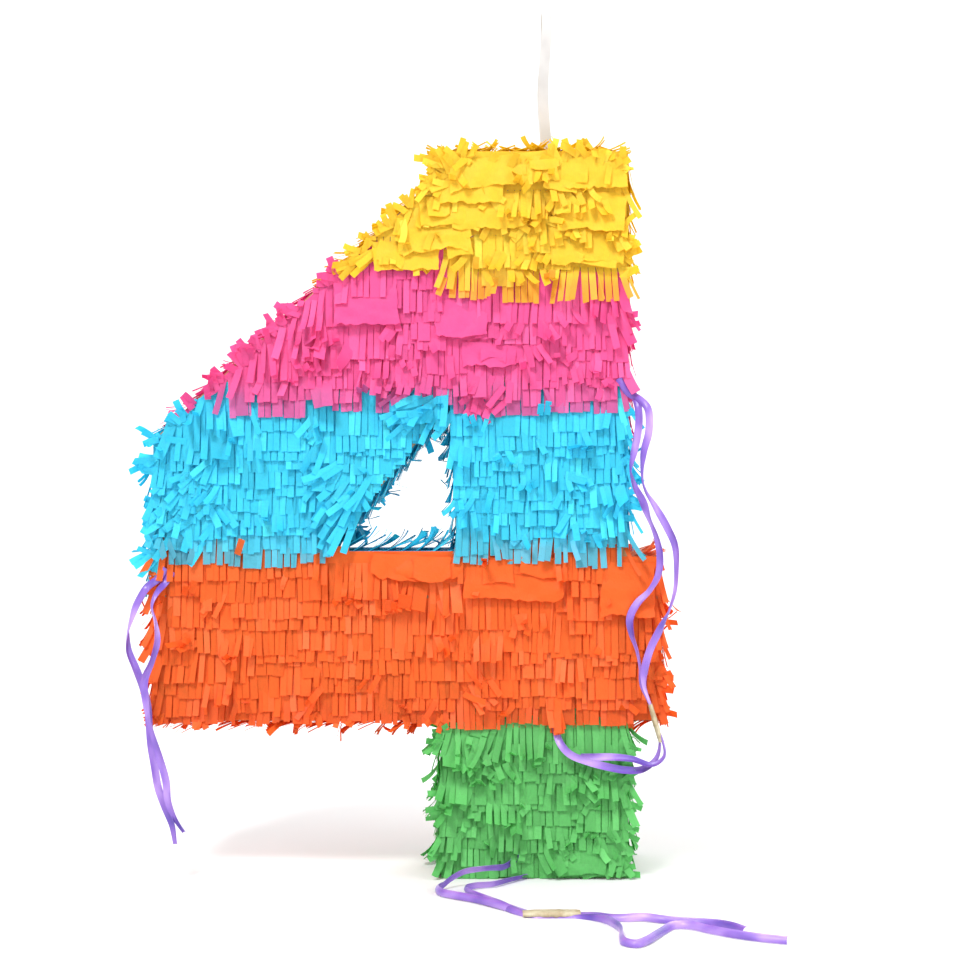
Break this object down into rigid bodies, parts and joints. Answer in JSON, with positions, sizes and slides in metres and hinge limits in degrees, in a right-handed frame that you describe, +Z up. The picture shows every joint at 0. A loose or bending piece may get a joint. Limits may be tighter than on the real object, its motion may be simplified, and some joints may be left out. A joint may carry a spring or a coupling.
{
  "type": "number pinata",
  "caption": "Hollow card party pinata shaped as the numeral 4, covered in rows of tissue fringe, with a hanging loop, a hinged fill flap at the back and ribbon streamers.",
  "frame": {"origin": "inside of the hanging loop's crown, where the hook or rope bears", "axes": "+X to the right seen from the front, -Y to the front, +Z up"},
  "size_m": [0.3525, 0.2393, 0.5038],
  "materials": {
    "card": "matte",
    "wood": "satin",
    "tissue_yellow": "matte",
    "tissue_pink": "matte",
    "tissue_blue": "matte",
    "tissue_orange": "matte",
    "tissue_green": "matte",
    "loop_ribbon": "satin",
    "curling_ribbon": "satin",
    "masking_tape": "matte"
  },
  "bodies": {
    "body": {"front_panel": "card", "back_panel": "card", "top_wall": "card", "right_wall": "card", "stub_top_wall": "card", "stub_end_wall": "card", "stub_under_wall": "card", "stem_right_wall": "card", "foot_wall": "card", "stem_left_wall": "card", "arm_under_wall": "card", "arm_end_wall": "card", "slope_wall": "card", "top_end_wall": "card", "hole_slope_wall": "card", "hole_stem_wall": "card", "hole_floor_wall": "card", "loop_anchor": "card", "loop_toggle": "wood", "loop_knot": "loop_ribbon", "hanging_loop": "loop_ribbon", "front_fringe_yellow": "tissue_yellow", "front_fringe_pink": "tissue_pink", "front_fringe_blue": "tissue_blue", "front_fringe_orange": "tissue_orange", "front_fringe_green": "tissue_green", "back_fringe_yellow": "tissue_yellow", "back_fringe_pink": "tissue_pink", "back_fringe_blue": "tissue_blue", "back_fringe_orange": "tissue_orange", "back_fringe_green": "tissue_green", "edge_fringe_yellow": "tissue_yellow", "edge_fringe_pink": "tissue_pink", "edge_fringe_blue": "tissue_blue", "edge_fringe_orange": "tissue_orange", "edge_fringe_green": "tissue_green", "hole_fringe_blue": "tissue_blue", "right_ribbon_a": "curling_ribbon", "right_ribbon_b": "curling_ribbon", "right_ribbon_tape": "masking_tape", "left_ribbon_a": "curling_ribbon", "left_ribbon_b": "curling_ribbon", "foot_ribbon_a": "curling_ribbon", "foot_ribbon_b": "curling_ribbon", "foot_ribbon_tape": "masking_tape"},
    "flap": {"fill_flap": "card", "flap_fringe": "tissue_yellow"}
  },
  "joints": [
    {"name": "fill_flap_hinge", "type": "hinge", "parent": "body", "child": "flap", "pos_m": [-0.008, 0.033, -0.102], "axis": [1, 0, 0], "range_deg": [0, 100]}
  ]
}
